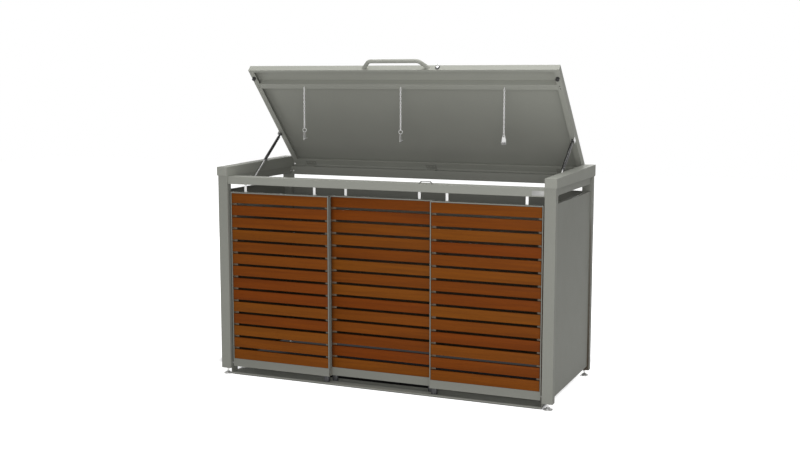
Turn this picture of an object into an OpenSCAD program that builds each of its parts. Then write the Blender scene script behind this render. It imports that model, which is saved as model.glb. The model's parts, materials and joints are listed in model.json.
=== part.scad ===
// Store for three wheeled bins: a sheet steel frame, a lid on two gas struts
// and three slatted doors that slide past each other. The lid is drawn open.
// X runs left to right, Y front to back and Z up, in millimetres.

/* [Store] */
// Width over the posts
store_w = 2000; // [1800:10:2300]
// Depth over the posts
store_d = 810; // [780:5:900]
// Height of the post tops above the ground
post_top = 1165; // [1100:5:1250]
// Gap between the ground and the posts
post_lift = 35; // [30:1:50]

/* [Posts and side caps] */
// Width of a post, seen from the front
post_w = 60; // [50:1:70]
// Depth of a post, seen from the side
post_d = 40; // [36:1:50]
// Wall of the posts
post_wall = 2; // [1.5:0.5:3]
// How far a cap stands out over the posts, at the side and at the ends
cap_over = 5; // [3:0.5:8]
// Height of a cap at the front
cap_front_h = 50; // [45:1:70]
// Height of a cap at the back
cap_rear_h = 65.5; // [60:0.5:90]
// Width of the lip under a cap
cap_lip = 12; // [8:1:20]
// Thickness of the folded sheet
sheet = 2; // [1.5:0.5:3]

/* [Side and back walls] */
// How far the wall sheets lie in from the posts' outer faces
wall_in = 10; // [6:1:14]
// Height of the wall sheets' lower edge
wall_bottom = 60; // [50:1:90]
// Height of the vent slot under the top rails
vent_h = 43; // [30:1:60]
// Height of the slot under the rear rail
rear_vent_h = 36; // [20:1:60]
// Width of the folded edges of the wall sheets
wall_fold = 22; // [14:1:28]
// Width of the side sheet's upstand beside the front post
vent_stand = 30; // [20:1:60]
// Height of a side rail
side_rail_h = 42; // [36:1:55]
// Height of the rear rail
rear_rail_h = 52; // [46:1:60]
// How far the rear rail stands above the posts
rear_rail_up = 3; // [1:0.5:5]

/* [Front rail and door track] */
// Height of the front rail
front_rail_h = 43; // [40:1:60]
// Distance from the post's front face back to the front rail
front_rail_in = 8; // [4:1:12]
// How far the front rail's top lies below the post tops
front_rail_down = 4; // [2:1:8]
// Distance between the two door lanes
lane_pitch = 40; // [38:1:50]
// Height of the door track
track_h = 34; // [30:1:38]
// Width of the slot that the hangers pass through
track_slot = 10; // [8:1:14]

/* [Doors] */
// How far a door in the front lane lies behind the posts' front faces
door_in = 17; // [15:1:22]
// Thickness of a door
door_t = 30; // [28:1:34]
// Height of the doors' lower edge
door_bottom = 46; // [40:1:60]
// Gap between the post tops and the doors' upper edge
door_down = 93; // [88:1:110]
// Gap between an outer door and its post
door_side_gap = 10; // [6:1:14]
// How far neighbouring doors overlap
door_lap = 9; // [5:1:20]
// Slats in a door
slat_count = 14; // [8:1:18]
// Gap between slats
slat_gap = 13.4; // [8:0.2:20]
// Thickness of a slat
slat_t = 18; // [14:1:22]
// Height of the plate under the slats
plate_h = 47; // [40:1:60]
// Height of the trim over the slats
trim_h = 7; // [6:1:10]
// Width of the frame edge beside the slats
edge_w = 5.5; // [4:0.5:8]
// Width of the flange behind the slat ends
flange_w = 27; // [20:1:40]

/* [Door hangers and rollers] */
// Width of a hanger strap
hanger_w = 15; // [12:1:20]
// Thickness of a hanger strap
hanger_t = 3; // [2:0.5:4]
// Distance from a door's edge to the middle of a hanger
hanger_in = 92; // [60:1:140]
// Radius of a roller
roller_r = 11; // [9:0.5:12]
// Width of a roller
roller_w = 8; // [6:0.5:9]
// Distance from the middle of the strap to a roller
roller_off = 6; // [5:0.5:7]
// Radius of the roller axle
axle_r = 3; // [2:0.5:4]

/* [Floor rail] */
// Depth of the floor rail
floor_d = 118; // [105:1:160]
// Height of the floor rail's top
floor_top = 12; // [10:1:16]
// Gap between the ground and the floor rail
floor_lift = 4; // [3:1:6]
// Height of the floor rail's end tabs
floor_tab_h = 68; // [50:1:90]
// Length of a floor guide
guide_l = 35; // [25:1:40]
// Thickness of a floor guide's foot
guide_t = 22; // [16:1:26]
// Thickness of a floor guide's nib
nib_t = 8; // [6:1:9]

/* [Feet] */
// Radius of a foot pad
pad_r = 25; // [20:1:30]
// Radius of a foot's stem
stem_r = 5; // [4:0.5:8]

/* [Lid] */
// Angle through which the lid opens
lid_travel = 45.9; // [30:0.1:46]
// Gap between the lid and a cap
lid_side_gap = 4.4; // [3:0.2:6]
// How far the closed lid stands in front of the posts
lid_over = 7; // [4:1:12]
// Width of the lid's front lip
lip_front = 17.5; // [12:0.5:24]
// Width of the lid's side lips
lip_side = 31.6; // [28:0.2:40]
// Width of the lid's rear lip
lip_rear = 50; // [30:1:60]
// Distance from the lid's front edge to the stiffener
stiff_at = 112; // [100:1:160]
// Width of the stiffener
stiff_w = 37; // [30:1:50]
// Radius of a rubber buffer
buffer_r = 10; // [8:0.5:14]
// Distance from the lid's front edge to a buffer
buffer_at = 61; // [45:1:80]

/* [Hinges] */
// Radius of a hinge pin
pin_r = 2.5; // [2:0.25:3]
// Radius of a hinge knuckle
knuckle_r = 4.5; // [4:0.25:6]
// Width of a hinge
hinge_w = 68; // [50:1:90]
// Depth of a hinge leaf
leaf_d = 35; // [25:1:40]
// Thickness of a hinge leaf
leaf_t = 2.5; // [1.5:0.5:3]
// Distance from the middle hinge to an outer one
hinge_pitch = 814; // [600:1:850]

/* [Handle] */
// Distance between the ends of the straight grip
grip_l = 268; // [160:1:400]
// Radius of the handle's tube
grip_r = 11; // [9:0.5:14]
// Distance from the lid to the middle of the grip
grip_out = 49; // [40:1:70]
// Radius of the handle's bends
bend_r = 35; // [28:1:50]
// Angle of the handle's legs to the lid
leg_angle = 48.7; // [40:0.1:70]

/* [Lock and striker] */
// Distance from the middle of the lid to the lock
lock_x = 250; // [150:1:450]
// Radius of the black collar
collar_r = 13; // [11:0.5:16]
// Radius of the lock's barrel
barrel_r = 8; // [6:0.5:9]
// Length of the cam's tongue
cam_l = 30; // [20:1:36]
// Distance from the middle of the store to the striker
bow_x = 276; // [200:1:450]
// Distance from the posts' front faces to the striker
bow_in = 22; // [21:1:60]
// Width of the striker bow at its feet
bow_w = 84; // [50:1:100]
// Height of the striker bow
bow_h = 15; // [10:1:16]

/* [Gas struts] */
// Distance from a strut's middle to the post's inner face
strut_in = 17; // [16:0.5:22]
// Distance from the posts' front faces to the wall stud
wall_stud_y = 246.7; // [240:0.1:260]
// Depth of the wall stud below the post tops
wall_stud_down = 52.5; // [48:0.5:56]
// Distance from the posts' front faces to the lid stud, lid closed
lid_stud_y = 519.3; // [510:0.1:540]
// Depth of the lid stud below the closed lid
lid_stud_down = 16; // [15:0.5:18]
// Radius of the strut's cylinder
cylinder_r = 9; // [8:0.5:10]
// Length of the strut's cylinder
cylinder_l = 219; // [190:1:222]
// Radius of the strut's rod
rod_r = 4; // [3:0.5:5]
// Length of the strut's rod
rod_l = 214; // [205:1:218]
// Radius of a strut's end fitting
eye_r = 8; // [7:0.5:9]

/* [Chains] */
// Distance from the middle chain to an outer one
chain_pitch = 611; // [500:1:700]
// Links in a chain
link_count = 19; // [10:1:22]
// Inner length of a link
link_l = 12.5; // [11:0.1:15]
// Inner width of a link
link_w = 4; // [3.6:0.1:5]
// Thickness of a link's wire
wire_d = 2.4; // [2:0.1:2.8]
// Radius of the ring at the end of a chain, to the middle of its wire
ring_r = 11.25; // [9:0.25:14]
// Length of a hook
hook_h = 52; // [40:1:70]
// Width of a hook
hook_w = 25; // [18:1:30]
// Length of a hook's turned-up tip
hook_tip = 17; // [12:1:25]

/* [Hidden] */

$fn = 48;
steel = [0.46, 0.47, 0.44];
steel_dark = [0.36, 0.37, 0.34];
timber = [0.42, 0.20, 0.07];
zinc = [0.75, 0.76, 0.76];
black = [0.08, 0.08, 0.08];

// Overrun of the cuts, the gap between moving faces and the play of a pin in its hole
cut = 1;
gap = 0.3;
play = 0.05;

// A knuckle clears the rear rail's edge by knuckle_edge and the lid by knuckle_clear
knuckle_edge = 0.5;
knuckle_clear = 1.5;
hinge_room = hinge_w / 2 + knuckle_clear;
pin_head_t = 1;
pin_head_over = 0.5;
upstand_in = 3;

// The lid's back wall hangs behind the rear rail, drip_gap clear of it
drip_gap = 1;
lid_end = store_d + drip_gap + sheet;

// The open lid reaches behind the posts, so the middle of the whole length lies behind
// the middle of the frame. front_y puts that middle at zero.
cap_l = store_d + 2 * cap_over;
cap_rise = (cap_rear_h - cap_front_h) / cap_l;
rear_rail_top = post_top + rear_rail_up;
pin_z = rear_rail_top + knuckle_r - knuckle_edge;
lid_z = pin_z + knuckle_r + knuckle_clear;
pin_back = sqrt(pow(knuckle_r + knuckle_edge, 2) - pow(knuckle_r - knuckle_edge, 2));
lid_rear_top = post_top + cap_top_at(lid_end);
lid_reach = store_d + pin_back + (lid_end - store_d - pin_back) * cos(lid_travel)
    + (lid_rear_top - pin_z) * sin(lid_travel);
front_y = (cap_over - lid_reach) / 2;

// Height of a cap's top above the post tops, at a distance behind the posts' front faces
function cap_top_at(y) = cap_front_h + (y + cap_over) * cap_rise;

inner_half = store_w / 2 - post_w;
rear_y = front_y + store_d;
pin_y = rear_y + pin_back;

// Front rail and track
rail_top = post_top - front_rail_down;
rail_y = front_y + front_rail_in;
lane_y = front_y + door_in + door_t / 2;
track_wall = 2;
track_w = lane_pitch - track_wall;
track_back = lane_y + lane_pitch + track_w / 2;
track_top = rail_top - sheet;
track_floor = track_top - track_h + track_wall;
track_clear = 1;
rail_back = track_back + track_clear + sheet;
rail_back_h = 31;
axle_z = track_floor + gap + roller_r;

// Doors
door_top = post_top - door_down;
door_h = door_top - door_bottom;
door_w = (2 * inner_half - 2 * door_side_gap + 2 * door_lap) / 3;
slat_side = edge_w + gap;
slat_h = (door_h - plate_h - trim_h - (slat_count - 1) * slat_gap) / slat_count;
rear_fold = 12;
guide_slot = 12;
nib_h = 16;
hanger_foot = 18;
hanger_top = 9;
bolt_r = 5;
bolt_h = 4;
door_x = [-inner_half + door_side_gap, -door_w / 2, inner_half - door_side_gap - door_w];
door_y = [front_y + door_in, front_y + door_in + lane_pitch, front_y + door_in];

// Lid
lid_half = inner_half - lid_side_gap;
lid_front = front_y - lid_over;
lid_back = front_y + lid_end;
stiff_y = lid_front + stiff_at;
buffer_in = 17.6;

// Lock
lock_z = lid_z + cap_front_h / 2 - 6;
collar_t = 4;
barrel_out = 4;
barrel_in = 24;
knob_out = 22;
knob_w = 14;
knob_t = 5;
cam_t = 3;
cam_w = 12;
bow_t = 4;
bow_foot_t = 6;
bow_d = 8;
bow_top_share = 0.66;

// Gas struts. The strut runs from the wall stud to the lid stud.
strut_x = inner_half - strut_in;
wall_stud = [front_y + wall_stud_y, post_top - wall_stud_down];
lid_stud = [front_y + lid_stud_y, lid_z - lid_stud_down];
lid_stud_open = turned(lid_stud);
strut_run = lid_stud_open - wall_stud;
strut_l = norm(strut_run);
strut_tilt = atan2(strut_run[1], strut_run[0]);
eye_half = 7;
neck_r = 5;
neck_l = 24;
stud_r = 4;
stud_head_over = 1;
stud_head_t = 2;
bracket_w = 42;
bracket_t = 3;
wall_bracket_up = 33;
wall_bracket_down = 12;
lid_bracket_w = 30;
lid_bracket_low = 9;
seal_l = 12;
bore_blind = 30;

// Chains
chain_y = stiff_y + stiff_w / 2;
eye_ring_r = 5;
eye_ring_out = 10;
eye_stem_r = 1.7;
link_pitch = link_l - gap;
chain_eye = turned([chain_y, lid_z - eye_ring_out]);
first_link = eye_ring_r - wire_d / 2 - gap + link_l / 2;
ring_at = first_link + (link_count - 1) * link_pitch + link_l / 2 - gap - wire_d / 2 + ring_r;
hook_t = 2;
hook_hole_r = 4;
hook_neck_w = 11;
hook_taper = 26;
hook_top_edge = 3;
hook_at = ring_at + ring_r - wire_d / 2 - gap + hook_hole_r;
twists = [90, 90, 0];
end_turn = link_count % 2 * 90;

// Feet
pad_h = 4;
pad_cone_h = 10;
pad_neck_r = 9;
stem_up = 25;
nut_r = 9;
nut_h = 8;
stem_seat = 5;

// Brackets at the ends of the rear rail
angle_w = 30;
angle_h = 22;
angle_t = 3;
screw_r = 4.5;
screw_h = 2.5;
angle_z = post_top - 26;
stop_r = 4;
stop_in = 5;
stop_up = 21;

// From where to where, on the right half, an edge runs that is broken at the hinges
function between_hinges(end) = [
    [hinge_room, hinge_pitch - hinge_room], [hinge_pitch + hinge_room, end]];

// A point in the side view, turned with the lid from closed to open
function turned(p) = [
    pin_y + (p[0] - pin_y) * cos(lid_travel) + (p[1] - pin_z) * sin(lid_travel),
    pin_z - (p[0] - pin_y) * sin(lid_travel) + (p[1] - pin_z) * cos(lid_travel)];

// Opens what is drawn with the lid closed
module opened() {
    translate([0, pin_y, pin_z]) rotate([-lid_travel, 0, 0]) translate([0, -pin_y, -pin_z]) children();
}

// A block between two opposite corners
module block(low, high) {
    translate(low) cube(high - low);
}

// A block and its mirror image at the other end of the store
module block_pair(low, high) {
    for (side = [0, 1]) mirror([side, 0, 0]) block(low, high);
}

// A side view outline carried along X
module along_x(from, to) {
    translate([from, 0, 0]) rotate([90, 0, 90]) linear_extrude(to - from) children();
}

// A round bar along X, its middle at a point of the side view
module bar_x(from, to, centre, radius) {
    translate([from, centre[0], centre[1]]) rotate([0, 90, 0]) cylinder(h = to - from, r = radius);
}

module post(side, y) {
    x = side < 0 ? -store_w / 2 : inner_half;
    color(steel) difference() {
        block([x, y, post_lift], [x + post_w, y + post_d, post_top]);
        block([x + post_wall, y + post_wall, post_lift + post_wall],
            [x + post_w - post_wall, y + post_d - post_wall, post_top + cut]);
        translate([x + post_w / 2, y + post_d / 2, post_lift - cut])
            cylinder(h = post_wall + 2 * cut, r = stem_r + play);
    }
}

module cap(side) {
    low = post_top;
    front = front_y - cap_over;
    back = rear_y + cap_over;
    from = inner_half;
    to = store_w / 2 + cap_over;
    color(steel) mirror([side < 0 ? 1 : 0, 0, 0]) difference() {
        along_x(from, to) polygon([[front, low], [back, low],
            [back, low + cap_rear_h], [front, low + cap_front_h]]);
        along_x(from + sheet, to - sheet) polygon([[front + sheet, low + sheet],
            [back - sheet, low + sheet], [back - sheet, low + cap_rear_h - sheet],
            [front + sheet, low + cap_front_h - sheet]]);
        block([from + cap_lip, front + post_d + cap_over, low - cut],
            [to - cap_lip, back - post_d - cap_over, low + sheet + cut]);
    }
}

module side_rail(side) {
    from = inner_half;
    to = store_w / 2 - wall_in;
    color(steel) mirror([side < 0 ? 1 : 0, 0, 0]) difference() {
        block([from, front_y + post_d, post_top - side_rail_h], [to, rear_y - post_d, post_top]);
        block([from + sheet, front_y + post_d - cut, post_top - side_rail_h + sheet],
            [to - sheet, rear_y - post_d + cut, post_top - sheet]);
    }
}

module side_panel(side) {
    out = store_w / 2 - wall_in;
    low = wall_bottom;
    high = post_top - side_rail_h - vent_h;
    stand = post_top - side_rail_h;
    front = front_y + post_d;
    back = rear_y - post_d;
    color(steel) mirror([side < 0 ? 1 : 0, 0, 0]) {
        block([out - sheet, front, low], [out, back, high]);
        block([out - sheet, front, high], [out, front + vent_stand, stand]);
        block([out - wall_fold, front, low], [out - sheet, front + sheet, stand]);
        block([out - wall_fold, back - sheet, low], [out - sheet, back, high]);
        block([out - wall_fold, front + sheet, low], [out - sheet, back - sheet, low + sheet]);
        block([out - wall_fold, front + sheet, high - sheet], [out - sheet, back - sheet, high]);
    }
}

module back_panel() {
    out = rear_y - wall_in;
    low = wall_bottom;
    high = rear_rail_top - rear_rail_h - rear_vent_h;
    color(steel) {
        block([-inner_half, out - sheet, low], [inner_half, out, high]);
        block_pair([inner_half - sheet, out - wall_fold, low], [inner_half, out - sheet, high]);
        for (z = [low, high - sheet])
            block([-inner_half + sheet, out - wall_fold, z],
                [inner_half - sheet, out - sheet, z + sheet]);
    }
}

module front_rail() {
    low = rail_top - front_rail_h;
    color(steel) {
        block([-inner_half, rail_y, low], [inner_half, rail_y + sheet, rail_top]);
        block([-inner_half, rail_y + sheet, rail_top - sheet], [inner_half, rail_back, rail_top]);
        block([-inner_half, rail_back - sheet, rail_top - rail_back_h],
            [inner_half, rail_back, rail_top - sheet]);
    }
}

module rear_rail() {
    low = rear_rail_top - rear_rail_h;
    color(steel) difference() {
        block([-inner_half, rear_y - post_d, low], [inner_half, rear_y, rear_rail_top]);
        block([-inner_half - cut, rear_y - post_d + sheet, low + sheet],
            [inner_half + cut, rear_y - sheet, rear_rail_top - sheet]);
    }
    // A low upstand along the back edge
    color(steel) for (stretch = between_hinges(inner_half))
        block_pair([stretch[0], rear_y - upstand_in - sheet, rear_rail_top],
            [stretch[1], rear_y - upstand_in, lid_z - knuckle_clear]);
}

module door_track() {
    color(steel_dark) for (lane = [0, 1])
        along_x(-inner_half, inner_half) translate([lane_y + lane * lane_pitch, 0]) difference() {
            translate([-track_w / 2, track_top - track_h]) square([track_w, track_h]);
            translate([-track_w / 2 + track_wall, track_floor])
                square([track_w - 2 * track_wall, track_h - 2 * track_wall]);
            translate([-track_slot / 2, track_top - track_h - cut])
                square([track_slot, track_wall + 2 * cut]);
        }
}

module floor_rail() {
    front = front_y + front_rail_in;
    back = front + floor_d;
    color(steel) {
        block([-inner_half, front, floor_top - sheet], [inner_half, back, floor_top]);
        for (y = [front, back - sheet])
            block([-inner_half, y, floor_lift], [inner_half, y + sheet, floor_top - sheet]);
        block_pair([inner_half - sheet, front, floor_top],
            [inner_half, front + floor_tab_h, floor_top + floor_tab_h]);
    }
}

module floor_guides() {
    foot_top = door_bottom - gap;
    for (side = [-1, 1], lane = [0, 1]) {
        inner = door_w / 2 - door_lap + gap;
        x = lane == 0 ? side * (inner + guide_l / 2 + edge_w) : side * (inner - guide_l / 2 + edge_w);
        color(black) translate([x, lane_y + lane * lane_pitch, floor_top]) {
            for (end = [-1, 1]) translate([end * (guide_l - guide_t) / 2, 0, 0])
                cylinder(h = foot_top - floor_top, r = guide_t / 2);
            translate([-(guide_l - guide_t) / 2, -guide_t / 2, 0])
                cube([guide_l - guide_t, guide_t, foot_top - floor_top]);
            translate([-guide_l / 2 + nib_t / 2, -nib_t / 2, foot_top - floor_top])
                cube([guide_l - nib_t, nib_t, nib_h]);
        }
    }
}

module striker() {
    top = bow_w * bow_top_share / 2;
    color(zinc) translate([bow_x, front_y + bow_in + bow_d, rail_top]) rotate([90, 0, 0])
        linear_extrude(bow_d) difference() {
            polygon([[-bow_w / 2, 0], [bow_w / 2, 0], [top, bow_h], [-top, bow_h]]);
            polygon([[-bow_w / 2 + bow_foot_t, -cut], [bow_w / 2 - bow_foot_t, -cut],
                [top - bow_t, bow_h - bow_t], [-top + bow_t, bow_h - bow_t]]);
        }
}

// Knuckles of one leaf: the fixed leaf has the outer two, the lid's leaf the middle one
module knuckles(x, middle) {
    third = hinge_w / 3;
    for (k = middle ? [1] : [0, 2]) difference() {
        bar_x(x - hinge_w / 2 + k * third + gap / 2, x - hinge_w / 2 + (k + 1) * third - gap / 2,
            [pin_y, pin_z], knuckle_r);
        bar_x(x - hinge_w / 2 - cut, x + hinge_w / 2 + cut, [pin_y, pin_z], pin_r + play);
    }
}

module hinge_leaves_fixed() {
    third = hinge_w / 3;
    color(steel_dark) for (x = [-hinge_pitch, 0, hinge_pitch]) {
        knuckles(x, false);
        difference() {
            block([x - hinge_w / 2, rear_y - leaf_d, rear_rail_top],
                [x + hinge_w / 2, pin_y, rear_rail_top + leaf_t]);
            bar_x(x - hinge_w / 2 - cut, x + hinge_w / 2 + cut, [pin_y, pin_z], pin_r + play);
            bar_x(x - third / 2 - gap / 2, x + third / 2 + gap / 2, [pin_y, pin_z], knuckle_r + gap);
        }
    }
}

module hinge_leaves_lid() {
    third = hinge_w / 3;
    color(steel_dark) opened() for (x = [-hinge_pitch, 0, hinge_pitch]) {
        knuckles(x, true);
        difference() {
            block([x - hinge_w / 2, rear_y - leaf_d, lid_z - leaf_t], [x + hinge_w / 2, pin_y, lid_z]);
            bar_x(x - hinge_w / 2 - cut, x + hinge_w / 2 + cut, [pin_y, pin_z], pin_r + play);
            for (side = [-1, 1]) bar_x(x + side * third - third / 2 - gap / 2 - cut * (side < 0 ? 1 : 0),
                x + side * third + third / 2 + gap / 2 + cut * (side > 0 ? 1 : 0),
                [pin_y, pin_z], knuckle_r + gap);
        }
    }
}

module hinge_pins() {
    color(zinc) for (x = [-hinge_pitch, 0, hinge_pitch]) {
        bar_x(x - hinge_w / 2, x + hinge_w / 2, [pin_y, pin_z], pin_r);
        for (end = [x - hinge_w / 2 - pin_head_t, x + hinge_w / 2])
            bar_x(end, end + pin_head_t, [pin_y, pin_z], pin_r + pin_head_over);
    }
}

module at_feet() {
    for (side = [-1, 1], y = [front_y, rear_y - post_d])
        translate([side * (store_w - post_w) / 2, y + post_d / 2, 0]) children();
}

module foot_pads() {
    color(zinc) at_feet() difference() {
        union() {
            cylinder(h = pad_h, r = pad_r);
            translate([0, 0, pad_h]) cylinder(h = pad_cone_h, r1 = pad_r - pad_h, r2 = pad_neck_r);
        }
        translate([0, 0, stem_seat]) cylinder(h = pad_h + pad_cone_h, r = stem_r + play);
    }
}

module foot_stems() {
    color(zinc) at_feet() {
        translate([0, 0, stem_seat]) cylinder(h = post_lift + stem_up - stem_seat, r = stem_r);
        translate([0, 0, post_lift - nut_h]) cylinder(h = nut_h, r = nut_r, $fn = 6);
    }
}

// Plate on the side rail with the stud that a strut's rod turns on
module wall_studs() {
    color(zinc) for (side = [0, 1]) mirror([side, 0, 0]) {
        block([inner_half - bracket_t, wall_stud[0] - bracket_w / 2, wall_stud[1] - wall_bracket_down],
            [inner_half, wall_stud[0] + bracket_w / 2, wall_stud[1] + wall_bracket_up]);
        bar_x(strut_x - eye_half, inner_half - bracket_t, wall_stud, stud_r);
        bar_x(strut_x - eye_half - stud_head_t, strut_x - eye_half - gap, wall_stud, stud_r + stud_head_over);
        bar_x(strut_x - eye_half - gap, strut_x - eye_half, wall_stud, stud_r);
    }
}

module rail_brackets() {
    y = rear_y - post_d;
    color(steel_dark) {
        block_pair([inner_half - angle_w, y - angle_t, angle_z - angle_h / 2],
            [inner_half - angle_t, y, angle_z + angle_h / 2]);
        block_pair([inner_half - angle_t, y - angle_w + angle_t, angle_z - angle_h / 2],
            [inner_half, y, angle_z + angle_h / 2]);
    }
}

module bracket_screws() {
    y = rear_y - post_d - angle_t;
    color(zinc) for (side = [0, 1]) mirror([side, 0, 0]) {
        translate([inner_half - angle_w / 2 - angle_t, y, angle_z]) rotate([90, 0, 0])
            cylinder(h = screw_h, r = screw_r);
        bar_x(inner_half - angle_t - screw_h, inner_half - angle_t,
            [y - angle_w / 2 + angle_t, angle_z], screw_r);
    }
}

module door_stops() {
    color(zinc) for (side = [0, 1]) mirror([side, 0, 0])
        bar_x(inner_half - door_side_gap + gap, inner_half - sheet,
            [front_y + door_in + stop_in, door_bottom + stop_up], stop_r);
}

// Side view of the lid's outside, drawn in by a wall
module lid_outline(wall) {
    front = lid_front + wall;
    back = lid_back - wall;
    polygon([[front, lid_z + wall], [back, lid_z + wall],
        [back, post_top + cap_top_at(back - front_y) - wall],
        [front, post_top + cap_top_at(front - front_y) - wall]]);
}

module lid_pan() {
    color(steel) opened() {
        difference() {
            along_x(-lid_half, lid_half) lid_outline(0);
            along_x(-lid_half + sheet, lid_half - sheet) lid_outline(sheet);
            block([-lid_half + lip_side, lid_front + lip_front, lid_z - cut],
                [lid_half - lip_side, lid_back - lip_rear, lid_z + sheet + cut]);
            translate([lock_x, lid_front - cut, lock_z]) rotate([-90, 0, 0])
                cylinder(h = sheet + 2 * cut, r = barrel_r + play);
        }
        // A drip edge under the back wall
        for (stretch = between_hinges(lid_half))
            block_pair([stretch[0], lid_back - sheet, rear_rail_top],
                [stretch[1], lid_back, lid_z + sheet]);
    }
}

module lid_stiffener() {
    x = lid_half - lip_side;
    top = post_top + cap_top_at(stiff_y - front_y) - sheet;
    color(steel) opened() difference() {
        block([-x, stiff_y, lid_z], [x, stiff_y + stiff_w, top]);
        block([-x - cut, stiff_y + sheet, lid_z + sheet], [x + cut, stiff_y + stiff_w - sheet, top + cut]);
    }
}

// One end of the handle, drawn flat with the lid towards negative Y: a bend, then a leg
module handle_end(side) {
    from = side * grip_l / 2;
    drop = bend_r * (1 - cos(leg_angle));
    reach = (grip_out - drop) / sin(leg_angle);
    intersection() {
        translate([from, -bend_r, 0]) rotate_extrude() translate([bend_r, 0]) circle(r = grip_r);
        translate([from, -bend_r, -bend_r]) linear_extrude(2 * bend_r)
            polygon([[0, 0], [0, 2 * bend_r], [side * 2 * bend_r * tan(leg_angle), 2 * bend_r]]);
    }
    translate([from + side * bend_r * sin(leg_angle), -drop, 0]) rotate([0, 0, -side * leg_angle])
        rotate([0, side * 90, 0]) translate([0, 0, -gap]) cylinder(h = reach + grip_r, r = grip_r - gap);
}

module lid_handle() {
    color(steel) opened() translate([0, lid_front - grip_out, lock_z]) rotate([180, 0, 0]) difference() {
        union() {
            translate([-grip_l / 2, 0, 0]) rotate([0, 90, 0]) cylinder(h = grip_l, r = grip_r);
            for (side = [-1, 1]) handle_end(side);
        }
        block([-grip_l, -grip_out - bend_r, -2 * grip_r], [grip_l, -grip_out, 2 * grip_r]);
    }
}

module lid_buffers() {
    low = rail_top + gap;
    color(black) opened() for (side = [-1, 1])
        translate([side * (lid_half - buffer_in), lid_front + buffer_at, low])
            cylinder(h = lid_z - low, r = buffer_r);
}

// Bracket with a stud that ends just short of the strut's end fitting
module lid_studs() {
    outer = lid_half;
    color(zinc) opened() for (side = [0, 1]) mirror([side, 0, 0]) {
        block([outer - bracket_t, lid_stud[0] - lid_bracket_w / 2, lid_stud[1] - lid_bracket_low],
            [outer, lid_stud[0] + lid_bracket_w / 2, lid_z]);
        bar_x(strut_x + eye_half + gap, outer - bracket_t, lid_stud, stud_r);
    }
}

module chain_eyes() {
    color(zinc) for (x = [-chain_pitch, 0, chain_pitch]) {
        translate([x, chain_eye[0], chain_eye[1]]) rotate([0, 90, 0])
            rotate_extrude() translate([eye_ring_r, 0]) circle(d = wire_d);
        opened() translate([x, chain_y, lid_z - eye_ring_out + eye_ring_r])
            cylinder(h = eye_ring_out - eye_ring_r, r = eye_stem_r);
    }
}

module lock_collar() {
    color(black) opened() translate([lock_x, lid_front - collar_t, lock_z]) rotate([-90, 0, 0])
        difference() {
            cylinder(h = collar_t, r = collar_r);
            translate([0, 0, -cut]) cylinder(h = collar_t + 2 * cut, r = barrel_r + gap);
        }
}

module lock_knob() {
    color(zinc) opened() translate([lock_x, lid_front, lock_z]) rotate([-90, 0, 0]) {
        translate([0, 0, -collar_t - barrel_out])
            cylinder(h = collar_t + barrel_out + barrel_in, r = barrel_r);
        translate([-knob_t / 2, -knob_w / 2, -collar_t - knob_out])
            cube([knob_t, knob_w, knob_out - barrel_out]);
    }
}

module lock_cam() {
    color(zinc) opened() translate([lock_x, lid_front + barrel_in, lock_z]) rotate([-90, 0, 0]) {
        cylinder(h = cam_t, r = barrel_r);
        translate([0, -cam_w / 2, 0]) cube([cam_l, cam_w, cam_t]);
    }
}

// Stands what is drawn along Z on the wall stud and leans it towards the lid stud
module on_strut(side) {
    translate([side * strut_x, wall_stud[0], wall_stud[1]]) rotate([strut_tilt - 90, 0, 0]) children();
}

module strut_rod(side) {
    color(zinc) on_strut(side) difference() {
        union() {
            translate([-eye_half, 0, 0]) rotate([0, 90, 0]) cylinder(h = 2 * eye_half, r = eye_r);
            cylinder(h = neck_l, r = neck_r);
            translate([0, 0, neck_l]) cylinder(h = rod_l - neck_l, r = rod_r);
        }
        translate([-eye_half - cut, 0, 0]) rotate([0, 90, 0])
            cylinder(h = 2 * eye_half + 2 * cut, r = stud_r + play);
    }
}

module strut_cylinder(side) {
    low = strut_l - neck_l - cylinder_l;
    color(black) on_strut(side) difference() {
        union() {
            translate([-eye_half, 0, strut_l]) rotate([0, 90, 0]) cylinder(h = 2 * eye_half, r = eye_r);
            translate([0, 0, strut_l - neck_l]) cylinder(h = neck_l, r = neck_r);
            translate([0, 0, low]) cylinder(h = cylinder_l, r = cylinder_r);
        }
        translate([0, 0, low - cut]) cylinder(h = cylinder_l - bore_blind + cut, r = rod_r + gap);
        translate([0, 0, low + seal_l])
            cylinder(h = cylinder_l - bore_blind - seal_l, r = cylinder_r - sheet);
    }
}

// One chain link: an oval of round wire in the XZ plane
module link() {
    straight = link_l - link_w;
    rail = (link_w + wire_d) / 2;
    for (side = [-1, 1]) {
        translate([side * rail, 0, -straight / 2]) cylinder(h = straight, d = wire_d, $fn = 16);
        translate([0, 0, side * straight / 2]) rotate([90, 0, 0]) rotate([0, 0, side < 0 ? 180 : 0])
            rotate_extrude(angle = 180, $fn = 32) translate([rail, 0]) circle(d = wire_d, $fn = 16);
    }
}

module chain(x, twist) {
    color(zinc) translate([x, chain_eye[0], chain_eye[1]]) {
        for (i = [0 : link_count - 1]) translate([0, 0, -first_link - i * link_pitch])
            rotate([0, 0, i % 2 * 90 + twist * i / link_count]) link();
        translate([0, 0, -ring_at]) rotate([0, 0, end_turn + twist]) rotate([90, 0, 0])
            rotate_extrude() translate([ring_r, 0]) circle(d = wire_d);
    }
}

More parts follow.
